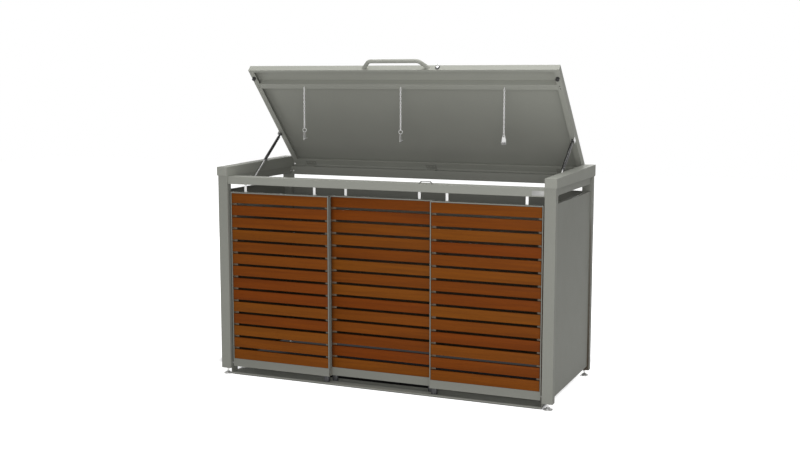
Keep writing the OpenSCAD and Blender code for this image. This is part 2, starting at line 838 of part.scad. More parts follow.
// A hook of sheet metal: a neck with a hole, a widening blade and a tip bent up in front
module hook(x, twist) {
    top = hook_top_edge + hook_hole_r;
    low = top - hook_h;
    bend = hook_t * tan(22.5);
    lean = hook_tip * cos(45);
    turn = end_turn + twist - 90;
    color(zinc) translate([x, chain_eye[0], chain_eye[1] - hook_at]) rotate([0, 0, turn]) difference() {
        intersection() {
            along_x(-hook_w / 2, hook_w / 2) polygon([[hook_t / 2, top], [-hook_t / 2, top],
                [-hook_t / 2, low + bend + hook_t], [-hook_t / 2 - lean, low + bend + hook_t + lean],
                [-hook_t / 2 - lean - hook_t * cos(45), low + bend + hook_t + lean - hook_t * cos(45)],
                [hook_t / 2, low]]);
            translate([0, hook_h, 0]) rotate([90, 0, 0]) linear_extrude(2 * hook_h)
                polygon([[-hook_neck_w / 2, top], [hook_neck_w / 2, top], [hook_w / 2, top - hook_taper],
                    [hook_w / 2, low], [-hook_w / 2, low], [-hook_w / 2, top - hook_taper]]);
        }
        translate([0, hook_t, 0]) rotate([90, 0, 0]) cylinder(h = 2 * hook_t, r = hook_hole_r);
    }
}

// Puts what is drawn in a door's own corner in that door's place
module at_door(n) {
    translate([door_x[n], door_y[n], door_bottom]) children();
}

// Plan of the left stile: front edge, side web, slat flange and rear fold
module stile_plan() {
    square([edge_w, sheet]);
    square([sheet, door_t]);
    translate([0, slat_t]) square([flange_w + sheet, sheet]);
    translate([0, door_t - sheet]) square([rear_fold, sheet]);
}

module door_frame(n) {
    mid = door_t / 2;
    color(steel) at_door(n) {
        translate([0, 0, plate_h]) linear_extrude(door_h - plate_h - trim_h) {
            stile_plan();
            translate([door_w, 0]) mirror([1, 0]) stile_plan();
        }
        difference() {
            cube([door_w, door_t, plate_h]);
            translate([-cut, sheet, sheet])
                cube([door_w + 2 * cut, door_t - 2 * sheet, plate_h - 2 * sheet]);
            translate([-cut, mid - guide_slot / 2, -cut])
                cube([door_w + 2 * cut, guide_slot, sheet + 2 * cut]);
        }
        difference() {
            translate([0, 0, door_h - trim_h]) cube([door_w, door_t, trim_h]);
            translate([-cut, sheet, door_h - trim_h + sheet])
                cube([door_w + 2 * cut, door_t - 2 * sheet, trim_h - 2 * sheet]);
        }
    }
}

module door_slats(n) {
    color(timber) at_door(n) for (i = [0 : slat_count - 1])
        translate([slat_side, 0, plate_h + i * (slat_h + slat_gap)])
            cube([door_w - 2 * slat_side, slat_t, slat_h]);
}

module at_hangers(n) {
    translate([door_x[n], door_y[n] + door_t / 2, 0])
        for (x = [hanger_in, door_w - hanger_in]) translate([x, 0, 0]) children();
}

module door_hangers(n) {
    color(zinc) at_hangers(n) {
        difference() {
            block([-hanger_w / 2, -hanger_t / 2, door_top],
                [hanger_w / 2, hanger_t / 2, axle_z + hanger_top]);
            translate([0, hanger_t, axle_z]) rotate([90, 0, 0]) cylinder(h = 2 * hanger_t, r = axle_r + play);
        }
        block([-hanger_w / 2, hanger_t / 2, door_top], [hanger_w / 2, hanger_t / 2 + hanger_foot - bolt_r,
            door_top + hanger_t]);
        translate([0, hanger_t / 2 + hanger_foot / 2 - bolt_r / 2, door_top + hanger_t])
            cylinder(h = bolt_h, r = bolt_r, $fn = 6);
    }
}

// Two rollers on one axle; which is 0 for the left hanger and 1 for the right one
module roller(n, which) {
    x = which == 0 ? hanger_in : door_w - hanger_in;
    reach = roller_off + roller_w;
    color(black) translate([door_x[n] + x, door_y[n] + door_t / 2, axle_z]) rotate([90, 0, 0]) {
        translate([0, 0, -reach]) cylinder(h = 2 * reach, r = axle_r);
        for (side = [-1, 1]) translate([0, 0, side * (roller_off + roller_w / 2) - roller_w / 2])
            cylinder(h = roller_w, r = roller_r);
    }
}

post(-1, front_y);  // post_front_left
post(1, front_y);  // post_front_right
post(-1, rear_y - post_d);  // post_rear_left
post(1, rear_y - post_d);  // post_rear_right
cap(-1);  // cap_left
cap(1);  // cap_right
side_rail(-1);  // side_rail_left
side_rail(1);  // side_rail_right
side_panel(-1);  // side_panel_left
side_panel(1);  // side_panel_right
back_panel();
front_rail();
rear_rail();
door_track();
floor_rail();
floor_guides();
striker();
hinge_leaves_fixed();
hinge_pins();
foot_pads();
foot_stems();
wall_studs();
rail_brackets();
bracket_screws();
door_stops();
lid_pan();
lid_stiffener();
lid_handle();
lid_buffers();
hinge_leaves_lid();
lid_studs();
chain_eyes();
lock_collar();
lock_knob();
lock_cam();
strut_rod(-1);  // strut_rod_left
strut_rod(1);  // strut_rod_right
strut_cylinder(-1);  // strut_cylinder_left
strut_cylinder(1);  // strut_cylinder_right
chain(-chain_pitch, twists[0]);  // chain_left
chain(0, twists[1]);  // chain_middle
chain(chain_pitch, twists[2]);  // chain_right
hook(-chain_pitch, twists[0]);  // hook_left
hook(0, twists[1]);  // hook_middle
hook(chain_pitch, twists[2]);  // hook_right
door_frame(0);  // door_left_frame
door_slats(0);  // door_left_slats
door_hangers(0);  // door_left_hangers
door_frame(1);  // door_middle_frame
door_slats(1);  // door_middle_slats
door_hangers(1);  // door_middle_hangers
door_frame(2);  // door_right_frame
door_slats(2);  // door_right_slats
door_hangers(2);  // door_right_hangers
roller(0, 0);  // door_left_roller_a
roller(0, 1);  // door_left_roller_b
roller(1, 0);  // door_middle_roller_a
roller(1, 1);  // door_middle_roller_b
roller(2, 0);  // door_right_roller_a
roller(2, 1);  // door_right_roller_b
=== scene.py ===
import json
import math
import bmesh
import bpy
import mathutils
import numpy as np
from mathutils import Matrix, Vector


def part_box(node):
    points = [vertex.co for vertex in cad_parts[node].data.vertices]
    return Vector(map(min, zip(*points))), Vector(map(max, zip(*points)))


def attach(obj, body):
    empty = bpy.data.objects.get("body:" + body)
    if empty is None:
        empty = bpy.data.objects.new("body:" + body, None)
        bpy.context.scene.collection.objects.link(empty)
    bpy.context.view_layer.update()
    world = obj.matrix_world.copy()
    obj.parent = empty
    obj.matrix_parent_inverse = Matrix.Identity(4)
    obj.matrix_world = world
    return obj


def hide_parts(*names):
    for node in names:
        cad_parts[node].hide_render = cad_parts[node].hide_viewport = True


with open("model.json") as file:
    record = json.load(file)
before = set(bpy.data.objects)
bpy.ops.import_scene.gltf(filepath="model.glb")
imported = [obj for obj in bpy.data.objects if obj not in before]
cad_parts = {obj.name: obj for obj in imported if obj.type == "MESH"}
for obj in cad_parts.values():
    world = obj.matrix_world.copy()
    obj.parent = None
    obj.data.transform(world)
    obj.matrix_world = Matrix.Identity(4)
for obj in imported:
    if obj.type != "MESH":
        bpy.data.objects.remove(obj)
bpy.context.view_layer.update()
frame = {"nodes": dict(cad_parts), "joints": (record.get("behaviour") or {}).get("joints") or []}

# The looks of a store for three wheeled bins. Metres, in the frame of the solids.

jointByName = {joint["name"]: joint for joint in frame["joints"]}
print("frame loaded")


def box(node):
    low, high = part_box(node)
    return np.array(low, float), np.array(high, float)


def nodePoints(node):
    return np.array([v.co for v in frame["nodes"][node].data.vertices], float)


# The lid stands open at rest. Its pieces are drawn on the closed lid, then turned about the pin.
lidJoint = jointByName["lid_hinge"]
lidPin = np.array(lidJoint["pos_m"], float)
lidTravel = math.radians(-lidJoint["range_deg"][0])


def turnLid(points, angle):
    # a turn about X by minus the angle: y' = y cos + z sin, z' = z cos - y sin
    rel = np.asarray(points, float) - lidPin
    cosA, sinA = math.cos(angle), math.sin(angle)
    turned = np.stack([rel[..., 0], rel[..., 1] * cosA + rel[..., 2] * sinA,
                       rel[..., 2] * cosA - rel[..., 1] * sinA], axis=-1)
    return turned + lidPin


def openLid(points):
    return turnLid(points, lidTravel)


def closeLid(points):
    return turnLid(points, -lidTravel)


# Surfaces

def gridQuads(rows, cols, first=0):
    # quads between neighbouring rings of a grid whose columns close into a ring
    row, col = np.meshgrid(np.arange(rows - 1), np.arange(cols), indexing="ij")
    here = first + row * cols + col
    side = first + row * cols + (col + 1) % cols
    return np.stack([here, side, side + cols, here + cols], axis=-1).reshape(-1, 4)


def closedTube(rings, first=0):
    # rings is (rows, cols, 3); returns points and faces with a flat face on each end
    rows, cols = rings.shape[:2]
    quads = [list(map(int, q)) for q in gridQuads(rows, cols, first)]
    start = list(range(first, first + cols))[::-1]
    end = list(range(first + (rows - 1) * cols, first + rows * cols))
    return rings.reshape(-1, 3), quads + [start, end]


def makePiece(name, parts, material, body, smoothAngle=30.0, replaces=()):
    # parts is a list of ring grids, each one closed shell of the piece
    points, faces = [], []
    for rings in parts:
        shellPoints, shellFaces = closedTube(np.asarray(rings, float), sum(len(p) for p in points))
        points.append(shellPoints)
        faces += shellFaces
    mesh = bpy.data.meshes.new(name)
    mesh.from_pydata(np.concatenate(points).tolist(), [], faces)
    mesh.validate()
    mesh.update()
    obj = bpy.data.objects.new(name, mesh)
    bpy.context.scene.collection.objects.link(obj)
    mesh.materials.append(material)
    faceOutwards(mesh)
    mesh.polygons.foreach_set("use_smooth", [True] * len(mesh.polygons))
    mesh.set_sharp_from_angle(angle=math.radians(smoothAngle))
    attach(obj, body)
    if replaces:
        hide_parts(*replaces)
    return obj


def faceOutwards(mesh):
    work = bmesh.new()
    work.from_mesh(mesh)
    bmesh.ops.recalc_face_normals(work, faces=work.faces)
    work.to_mesh(mesh)
    work.free()


def roundedBar(low, high, radius, arcSteps=3, firstTurn=0.12):
    # a box along X whose edges are rounded: each section is the inner core's four corners, pushed
    # out by rho, and over each end's rounding rho grows as a sine from the first turn to the radius
    low, high = np.asarray(low, float), np.asarray(high, float)
    turn = np.linspace(0, math.pi / 2, arcSteps + 1)
    quarter = np.arange(4)[:, None] * math.pi / 2 + turn[None, :]
    cornerY = np.array([high[1] - radius, low[1] + radius, low[1] + radius, high[1] - radius])
    cornerZ = np.array([high[2] - radius, high[2] - radius, low[2] + radius, low[2] + radius])
    endTurn = np.linspace(firstTurn, 1, arcSteps + 1) * math.pi / 2
    rho = radius * np.concatenate([np.sin(endTurn), np.sin(endTurn)[::-1]])
    along = radius * (1 - np.cos(endTurn))
    x = np.concatenate([low[0] + along, high[0] - along[::-1]])
    y = cornerY[None, :, None] + rho[:, None, None] * np.cos(quarter)[None]
    z = cornerZ[None, :, None] + rho[:, None, None] * np.sin(quarter)[None]
    xx = np.broadcast_to(x[:, None, None], y.shape)
    return np.stack([xx, y, z], axis=-1).reshape(len(x), -1, 3)


def sweepTube(centres, radius, side, aroundSteps=24):
    # a round section carried along a flat path, whose normal is side: each point is the centre
    # plus the radius times (across cos + side sin), and across is square to the path and to side
    centres = np.asarray(centres, float)
    tangent = np.gradient(centres, axis=0)
    tangent /= np.linalg.norm(tangent, axis=1)[:, None]
    side = np.asarray(side, float) / np.linalg.norm(side)
    across = np.cross(tangent, side)
    around = np.linspace(0, 2 * math.pi, aroundSteps, endpoint=False)
    ring = across[:, None, :] * np.cos(around)[None, :, None] + side * np.sin(around)[None, :, None]
    return centres[:, None, :] + radius * ring


def lathe(profile, start, axis, aroundSteps=32):
    # a profile of (distance along the axis, radius) turned about the axis
    profile = np.asarray(profile, float)
    axis = np.asarray(axis, float) / np.linalg.norm(axis)
    first = np.cross(axis, np.eye(3)[np.argmin(np.abs(axis))])
    first /= np.linalg.norm(first)
    second = np.cross(axis, first)
    around = np.linspace(0, 2 * math.pi, aroundSteps, endpoint=False)
    ring = first * np.cos(around)[:, None] + second * np.sin(around)[:, None]
    distance, radius = profile[:, 0, None, None], profile[:, 1, None, None]
    return np.asarray(start, float) + distance * axis + radius * ring[None]


# Node trees

class Nodes:
    # short names for building a node tree
    def __init__(self, tree):
        self.tree = tree

    def add(self, kind, **settings):
        node = self.tree.nodes.new(kind)
        for key, value in settings.items():
            setattr(node, key, value)
        return node

    def link(self, source, target):
        self.tree.links.new(source, target)

    def coords(self):
        return self.add("ShaderNodeTexCoord").outputs["Object"]

    def range(self, source, low, high, fromMin=0.0, fromMax=1.0, curve="LINEAR"):
        node = self.add("ShaderNodeMapRange", interpolation_type=curve)
        node.inputs["From Min"].default_value = fromMin
        node.inputs["From Max"].default_value = fromMax
        node.inputs["To Min"].default_value = low
        node.inputs["To Max"].default_value = high
        self.link(source, node.inputs["Value"])
        return node.outputs["Result"]

    def maths(self, operation, first, second):
        node = self.add("ShaderNodeMath", operation=operation)
        for socket, value in zip(node.inputs, (first, second)):
            if isinstance(value, (int, float)):
                socket.default_value = value
            else:
                self.link(value, socket)
        return node.outputs[0]

    def open(self, reach, split, samples=8, curve="LINEAR"):
        # the share of open space around a point, brought to 0 and 1 at the two values of split
        node = self.add("ShaderNodeAmbientOcclusion", samples=samples)
        node.inputs["Distance"].default_value = reach
        return self.range(node.outputs["AO"], 0.0, 1.0, *split, curve)

    def seenDirectly(self):
        # 1 for what the camera sees, also in a mirror or through glass
        path = self.add("ShaderNodeLightPath")
        mirrored = self.maths("MAXIMUM", path.outputs["Is Camera Ray"], path.outputs["Is Glossy Ray"])
        return self.maths("MAXIMUM", mirrored, path.outputs["Is Transmission Ray"])

    def pick(self, share, first, second):
        # the first shader where the share is 0 and the second where it is 1
        node = self.add("ShaderNodeMixShader")
        for socket, source in zip(node.inputs, (share, first, second)):
            self.link(source, socket)
        return node.outputs[0]


class Surface(Nodes):
    # a new material with patterns on its Object coordinates, in metres
    def __init__(self, name):
        self.material = bpy.data.materials.new(name)
        self.material.use_nodes = True
        super().__init__(self.material.node_tree)
        self.shader = self.tree.nodes["Principled BSDF"]
        self.place = self.coords()

    def stretch(self, scale, source=None):
        mapping = self.add("ShaderNodeMapping")
        mapping.inputs["Scale"].default_value = scale
        self.link(source or self.place, mapping.inputs["Vector"])
        return mapping.outputs["Vector"]

    def noise(self, scale, detail=4.0, roughness=0.55, source=None, distortion=0.0):
        node = self.add("ShaderNodeTexNoise")
        node.inputs["Scale"].default_value = scale
        node.inputs["Detail"].default_value = detail
        node.inputs["Roughness"].default_value = roughness
        node.inputs["Distortion"].default_value = distortion
        self.link(source or self.place, node.inputs["Vector"])
        return node.outputs["Fac"]

    def ramp(self, source, low, high, split):
        node = self.add("ShaderNodeValToRGB")
        for element, colour, position in zip(node.color_ramp.elements, (low, high), split):
            element.position = position
            element.color = (*colour, 1)
        self.link(source, node.inputs["Fac"])
        return node.outputs["Color"]

    def tones(self, source, colour, factors, split):
        # a ramp between two shades of one colour
        return self.ramp(source, shade(colour, factors[0]), shade(colour, factors[1]), split)

    def mix(self, factor, first, second, blend="MIX"):
        node = self.add("ShaderNodeMix", data_type="RGBA", blend_type=blend)
        for key, value in (("Factor", factor), ("A", first), ("B", second)):
            socket = [s for s in node.inputs if s.name == key and s.enabled][0]
            if isinstance(value, (int, float)):
                socket.default_value = value
            elif isinstance(value, tuple):
                socket.default_value = (*value, 1)
            else:
                self.link(value, socket)
        return [s for s in node.outputs if s.enabled][0]

    def under(self, low, high):
        # 1 below the low level and 0 above the high one
        split = self.add("ShaderNodeSeparateXYZ")
        self.link(self.place, split.inputs["Vector"])
        return self.range(split.outputs["Z"], 1.0, 0.0, low, high)

    def worn(self, low, high):
        # brightest on convex edges
        pointiness = self.add("ShaderNodeNewGeometry").outputs["Pointiness"]
        return self.range(pointiness, 0.0, 1.0, low, high)

    def finish(self, colour, roughness, height, depth, strength):
        # joins the colour, the roughness and the bump to the shader
        self.link(colour, self.shader.inputs["Base Color"])
        self.link(roughness, self.shader.inputs["Roughness"])
        bump = self.add("ShaderNodeBump")
        bump.inputs["Strength"].default_value = strength
        bump.inputs["Distance"].default_value = depth
        self.link(height, bump.inputs["Height"])
        self.link(bump.outputs["Normal"], self.shader.inputs["Normal"])
        return self.material


# Materials

def fromSrgb(red, green, blue):
    # the standard curve from screen values to linear light
    channel = np.array([red, green, blue]) / 255
    curved = ((channel + 0.055) / 1.055) ** 2.4
    return tuple(float(c) for c in np.where(channel <= 0.04045, channel / 12.92, curved))


def shade(colour, factor):
    return tuple(min(1.0, c * factor) for c in colour)


coat = {"driftScale": 1.6, "drift": (0.95, 1.05), "driftSplit": (0.25, 0.75),
        "speckleScale": 420.0, "speckle": (0.7, 1.3), "speckleSplit": (0.35, 0.65), "speckleShare": 0.12,
        "wornSplit": (0.52, 0.6), "wornShare": 0.25, "wornTone": 1.35,
        "grimeReach": 2.0, "grimeSplit": (0.24, 0.47), "grimeLevels": (0.87, 0.95),
        "grimeColour": (0.055, 0.036, 0.018), "nookReach": 0.03, "nookSplit": (0.2, 0.55),
        "glossScale": 9.0, "duller": 0.07, "shinier": 0.05,
        "peelScale": 900.0, "peelDepth": 0.00006, "peelStrength": 0.5}


def powderCoat(name, colour, paintedLight=1.0, roughness=0.58, insideShade=0.0, creviceShade=None, gloss=0.1):
    # powder paint: slow drift of tone, faint speckle, orange peel, edges rubbed a little paler;
    # a painted shade, as strong as its given share, darkens and browns it low inside the store, where
    # little opens within its reach, and a painted shade of a given colour lies at the bottom of narrow gaps
    m = Surface(name)
    # painted light and shade: the paint is made paler or darker by the given factor, standing in for how
    # much light the part gets
    paint = shade(colour, paintedLight)
    base = m.tones(m.noise(coat["driftScale"], detail=3.0), paint, coat["drift"], coat["driftSplit"])
    fine = m.noise(coat["speckleScale"], detail=2.0)
    speckle = m.tones(fine, paint, coat["speckle"], coat["speckleSplit"])
    base = m.mix(coat["speckleShare"], base, speckle)
    worn = m.maths("MULTIPLY", m.worn(*coat["wornSplit"]), coat["wornShare"])
    base = m.mix(worn, base, shade(paint, coat["wornTone"]))
    # painted shade: darker and browner low inside the store, where the walls and the lid close round
    if insideShade:
        closed = m.maths("SUBTRACT", 1.0, m.open(coat["grimeReach"], coat["grimeSplit"]))
        deep = m.maths("MULTIPLY", closed, m.under(*coat["grimeLevels"]))
        base = m.mix(m.maths("MULTIPLY", deep, insideShade), base, coat["grimeColour"])
    # painted shade at the bottom of narrow gaps
    if creviceShade:
        base = m.mix(m.open(coat["nookReach"], coat["nookSplit"]), creviceShade, base)
    m.shader.inputs["Specular IOR Level"].default_value = gloss
    patches = m.range(m.noise(coat["glossScale"]), roughness - coat["shinier"], roughness + coat["duller"])
    peel = m.noise(coat["peelScale"], detail=2.0)
    return m.finish(base, patches, peel, coat["peelDepth"], coat["peelStrength"])


timber = {"shiftX": 37.0, "shiftZ": 91.0,
          "bandStretch": (1.3, 26.0, 26.0), "bandTone": (0.78, 0.75, 0.7), "bandSplit": (0.3, 0.62),
          "streakStretch": (3.0, 160.0, 160.0), "streakTone": (0.66, 0.6, 0.5), "streakSplit": (0.3, 0.6),
          "streakShare": 0.5, "poreStretch": (26.0, 900.0, 900.0), "poreTone": 0.35,
          "poreShare": 0.3, "poreSplit": (0.3, 0.42), "gapReach": 0.03, "gapSplit": (0.35, 0.9),
          "gapTone": 0.12, "roughness": (0.55, 0.75), "gloss": 0.1, "depth": 0.00035, "strength": 0.6}


def stainedWood(name, red, golden):
    # stained boards: growth bands and fine pores drawn out along X, and each board has
    # its own place between a red and a golden brown
    m = Surface(name)
    full = (1.0, 1.0, 1.0)
    tone = m.add("ShaderNodeAttribute", attribute_name="boardTone").outputs["Fac"]
    shift = m.add("ShaderNodeCombineXYZ")
    m.link(m.maths("MULTIPLY", tone, timber["shiftX"]), shift.inputs["X"])
    m.link(m.maths("MULTIPLY", tone, timber["shiftZ"]), shift.inputs["Z"])
    moved = m.add("ShaderNodeVectorMath", operation="ADD")
    m.link(m.place, moved.inputs[0])
    m.link(shift.outputs["Vector"], moved.inputs[1])
    bandPlace, streakPlace, porePlace = (m.stretch(timber[key], moved.outputs["Vector"])
                                         for key in ("bandStretch", "streakStretch", "poreStretch"))
    bands = m.noise(1.0, detail=5.0, roughness=0.6, source=bandPlace, distortion=0.6)
    streaks = m.noise(1.0, detail=6.0, roughness=0.65, source=streakPlace, distortion=0.2)
    pores = m.noise(1.0, detail=2.0, roughness=0.5, source=porePlace)
    stain = m.ramp(tone, red, golden, (0.0, 1.0))
    base = m.mix(1.0, stain, m.ramp(bands, timber["bandTone"], full, timber["bandSplit"]), "MULTIPLY")
    streak = m.ramp(streaks, timber["streakTone"], full, timber["streakSplit"])
    base = m.mix(timber["streakShare"], base, m.mix(1.0, base, streak, "MULTIPLY"))
    poreShare = m.range(pores, timber["poreShare"], 0.0, *timber["poreSplit"])
    base = m.mix(poreShare, base, shade(red, timber["poreTone"]))
    # painted shade: the boards darken to a deep red-brown where they face each other across the narrow gaps
    base = m.mix(m.open(timber["gapReach"], timber["gapSplit"]), shade(red, timber["gapTone"]), base)
    m.shader.inputs["Specular IOR Level"].default_value = timber["gloss"]
    dull = m.range(streaks, *timber["roughness"])
    relief = m.mix(0.5, streaks, pores)
    return m.finish(base, dull, relief, timber["depth"], timber["strength"])


steel = {"lineScale": 600.0, "line": (0.9, 1.08), "split": (0.3, 0.7),
         "patchScale": 35.0, "patch": (0.8, 1.1), "patchShare": 0.3,
         "nookTone": 0.2, "nookSplit": (0.3, 0.85), "duller": 0.12, "shinier": 0.08,
         "depth": 0.00004, "strength": 0.4}


def bareSteel(name, colour, roughness, metallic, drawn=(1.0, 1.0, 1.0), nookReach=0.0):
    # plated or brushed steel: fine drawn lines, patches of tone and roughness, and a painted shade
    # between close wires where its reach is given
    m = Surface(name)
    lines = m.noise(1.0, roughness=0.6, source=m.stretch(tuple(steel["lineScale"] * d for d in drawn)))
    patches = m.noise(steel["patchScale"])
    base = m.tones(lines, colour, steel["line"], steel["split"])
    base = m.mix(steel["patchShare"], base, m.tones(patches, colour, steel["patch"], steel["split"]))
    # painted shade between close wires
    if nookReach:
        base = m.mix(m.open(nookReach, steel["nookSplit"]), shade(colour, steel["nookTone"]), base)
    m.shader.inputs["Metallic"].default_value = metallic
    dull = m.range(patches, roughness - steel["shinier"], roughness + steel["duller"])
    return m.finish(base, dull, lines, steel["depth"], steel["strength"])


plastic = {"dustScale": 60.0, "dust": (1.0, 1.8), "dustSplit": (0.4, 0.8), "duller": 0.1, "shinier": 0.08,
           "depth": 0.00008, "strength": 0.6}


def darkPlastic(name, colour, roughness, grain=700.0):
    # moulded plastic or rubber: fine grain and dusty patches
    m = Surface(name)
    dust = m.noise(plastic["dustScale"], detail=5.0)
    base = m.tones(dust, colour, plastic["dust"], plastic["dustSplit"])
    dull = m.range(dust, roughness - plastic["shinier"], roughness + plastic["duller"])
    return m.finish(base, dull, m.noise(grain, detail=2.0), plastic["depth"], plastic["strength"])


paintGrey = fromSrgb(134, 135, 128)
drawnUp = (1.0, 1.0, 0.05)  # the brushing's scale along each axis, small where its lines are long
drawnAlongRod = (1.0, 0.1, 0.1)
coatedSteel = powderCoat("coatedSteel", paintGrey)
# painted light and shade: these copies of the one grey paint are made paler or darker for how much light
# the lid, the caps and front rail, the walls, the doors and the track get
coatedLid = powderCoat("coatedLid", paintGrey, paintedLight=1.38)
coatedTop = powderCoat("coatedTop", paintGrey, paintedLight=1.14)
# the walls' paint also takes the painted shade low inside the store
coatedWall = powderCoat("coatedWall", paintGrey, paintedLight=0.97, insideShade=0.95)
# the doors' paint also takes a brown painted shade at the bottom of narrow gaps
coatedDoor = powderCoat("coatedDoor", paintGrey, paintedLight=0.92, creviceShade=(0.16, 0.09, 0.045))
coatedTrack = powderCoat("coatedTrack", paintGrey, paintedLight=0.85)
blackEnamel = powderCoat("blackEnamel", (0.012, 0.012, 0.012), roughness=0.22, gloss=0.8)
wood = stainedWood("stainedWood", red=fromSrgb(115, 54, 4), golden=fromSrgb(123, 69, 12))
zinc = bareSteel("zincPlate", (0.86, 0.86, 0.85), roughness=0.42, metallic=0.55)
zincWire = bareSteel("zincWire", (0.95, 0.95, 0.94), roughness=0.42, metallic=0.2, nookReach=0.004)
hookSteel = bareSteel("hookSteel", (0.66, 0.66, 0.65), roughness=0.45, metallic=0.4)
padSteel = bareSteel("padSteel", (0.5, 0.5, 0.49), roughness=0.4, metallic=0.6)
dullZinc = bareSteel("dullZinc", (0.35, 0.35, 0.34), roughness=0.5, metallic=0.4)
darkSteel = bareSteel("darkSteel", (0.2, 0.2, 0.19), roughness=0.4, metallic=0.3)
stainless = bareSteel("brushedStainless", (0.66, 0.66, 0.65), roughness=0.36, metallic=0.85, drawn=drawnUp)
plateSteel = bareSteel("plateSteel", (0.3, 0.3, 0.29), roughness=0.4, metallic=0.3, drawn=drawnUp)
polished = bareSteel("polishedRod", (0.95, 0.95, 0.95), roughness=0.25, metallic=0.5, drawn=drawnAlongRod)
blackPlastic = darkPlastic("blackPlastic", (0.02, 0.02, 0.021), roughness=0.5)
rollerNylon = darkPlastic("rollerNylon", (0.05, 0.05, 0.05), roughness=0.42)
blackRubber = darkPlastic("blackRubber", (0.016, 0.016, 0.016), roughness=0.72, grain=500.0)
print("materials made")


# Solids that keep their shape

softEdge = {"weld": 0.00001, "flatAngle": 0.5, "sharpAngle": 40.0, "segments": 2}


def dress(node, material, bevel):
    obj = frame["nodes"][node]
    if obj.material_slots:
        for entry in obj.material_slots:
            entry.material = material
    else:
        obj.data.materials.append(material)
    if bevel:
        # the solids are loose triangles: join them, drop the flat edges, then round the sharp ones
        weld = obj.modifiers.new("join", "WELD")
        weld.merge_threshold = softEdge["weld"]
        flat = obj.modifiers.new("flatten", "DECIMATE")
        flat.decimate_type = "DISSOLVE"
        flat.angle_limit = math.radians(softEdge["flatAngle"])
        soft = obj.modifiers.new("soften", "BEVEL")
        soft.width = bevel
        soft.segments = softEdge["segments"]
        soft.limit_method = "ANGLE"
        soft.angle_limit = math.radians(softEdge["sharpAngle"])


# each finish has its material, the width of its rounded edges and its nodes
finishes = {
    "coated": (coatedSteel, 0.0008, [
        "post_front_left", "post_front_right", "side_rail_left", "side_rail_right",
        "rear_rail", "floor_rail"]),
    "top": (coatedTop, 0.0008, ["cap_left", "cap_right", "front_rail"]),
    "lid": (coatedLid, 0.0008, ["lid_pan", "lid_stiffener"]),
    "door": (coatedDoor, 0.0008, ["door_left_frame", "door_middle_frame", "door_right_frame"]),
    "wall": (coatedWall, 0.0008, [
        "post_rear_left", "post_rear_right", "side_panel_left", "side_panel_right", "back_panel"]),
    "coatedSmall": (coatedSteel, 0.0003, ["hinge_leaves_fixed", "hinge_leaves_lid", "rail_brackets"]),
    "track": (coatedTrack, 0.0004, ["door_track"]),
    "zinc": (zinc, 0.0003, [
        "foot_stems", "wall_studs", "bracket_screws", "hinge_pins", "lid_studs", "lock_cam"]),
    "hook": (hookSteel, 0.0003, ["hook_left", "hook_middle", "hook_right"]),
    "pad": (padSteel, 0.0003, ["foot_pads"]),
    "zincWire": (zincWire, 0.0, ["chain_eyes", "chain_left", "chain_middle", "chain_right"]),
    "dullZinc": (dullZinc, 0.0003, ["door_stops"]),
    "darkSteel": (darkSteel, 0.0003, ["striker"]),
    "stainless": (stainless, 0.0003, ["door_left_hangers", "door_middle_hangers", "door_right_hangers"]),
    "polished": (polished, 0.0003, ["lock_knob", "strut_rod_left", "strut_rod_right"]),
    "plastic": (blackPlastic, 0.0006, ["floor_guides", "lock_collar"]),
    "rubber": (blackRubber, 0.001, ["lid_buffers"]),
    "roller": (rollerNylon, 0.0003, [
        f"door_{door}_roller_{end}" for door in ("left", "middle", "right") for end in "ab"]),
}
for material, bevel, nodes in finishes.values():
    for node in nodes:
        dress(node, material, bevel)
print("solids dressed")


# Door boards

boards = {"edge": 0.0028, "play": 0.0004, "levelStep": 0.001, "seeds": {"left": 3, "middle": 8, "right": 5}}


def makeBoards(door, seed):
    # the slats' own corners give the bottom and top of each board in turn
    low, high = box(f"door_{door}_slats")
    heights = np.sort(nodePoints(f"door_{door}_slats")[:, 2])
    levels = heights[np.insert(np.diff(heights) > boards["levelStep"], 0, True)]
    parts = [roundedBar([low[0] + boards["play"], low[1], bottom],
                        [high[0] - boards["play"], high[1], top], boards["edge"])
             for bottom, top in zip(levels[0::2], levels[1::2])]
    obj = makePiece(f"boards{door.capitalize()}", parts, wood, f"door_{door}",
                    replaces=(f"door_{door}_slats",))
    tones = np.random.default_rng(seed).permutation(len(parts)) / (len(parts) - 1)
    perBoard = len(obj.data.vertices) // len(parts)
    attribute = obj.data.attributes.new("boardTone", "FLOAT", "POINT")
    attribute.data.foreach_set("value", np.repeat(tones, perBoard).astype(np.float32))


for door, seed in boards["seeds"].items():
    makeBoards(door, seed)
print("boards made")


# Lid handle

# the rings of a straight stretch run from gripStart to the gripShare of half the grip,
# and from the legShare of the leg to its end
handle = {"radius": 0.01098, "bend": 0.035, "legAngle": math.radians(48.7), "grip": 0.268,
          "gripStart": 0.02, "gripShare": 0.95, "legShare": 0.1, "bendSteps": 10, "straightSteps": 6}


